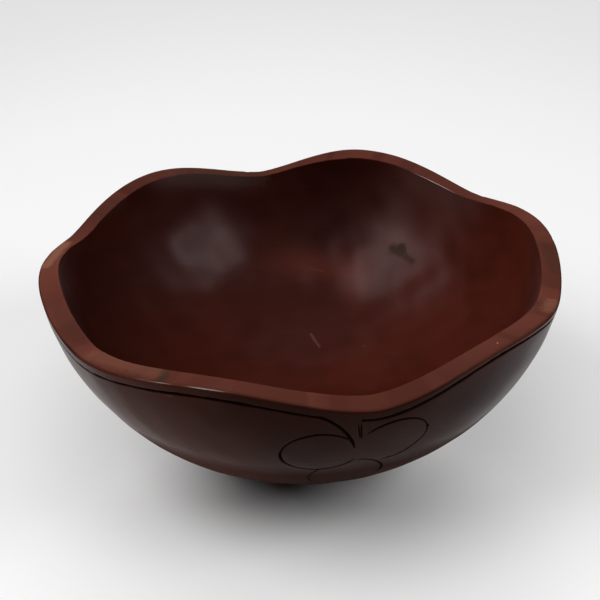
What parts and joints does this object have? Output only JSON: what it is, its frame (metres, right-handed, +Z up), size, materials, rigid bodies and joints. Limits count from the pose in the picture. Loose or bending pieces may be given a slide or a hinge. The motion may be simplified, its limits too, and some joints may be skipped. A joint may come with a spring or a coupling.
{
  "type": "footed wooden bowl",
  "caption": "Carved dark wooden bowl with a wavy lobed rim, a carved border line and flower outside, and a low turned foot glued under it. Holds fruit or salad.",
  "frame": {"origin": "centre of the foot's underside, where the bowl rests", "axes": "+Z up along the bowl's axis, -Y towards the front with the carved flower, +X to the viewer's right"},
  "size_m": [0.2685, 0.2654, 0.1165],
  "materials": {
    "bowl_wood": "satin, dark red-brown stain",
    "foot_wood": "satin, dark red-brown stain"
  },
  "bodies": {
    "root": {"bowl_body": "bowl_wood", "foot_ring": "foot_wood"}
  },
  "joints": []
}
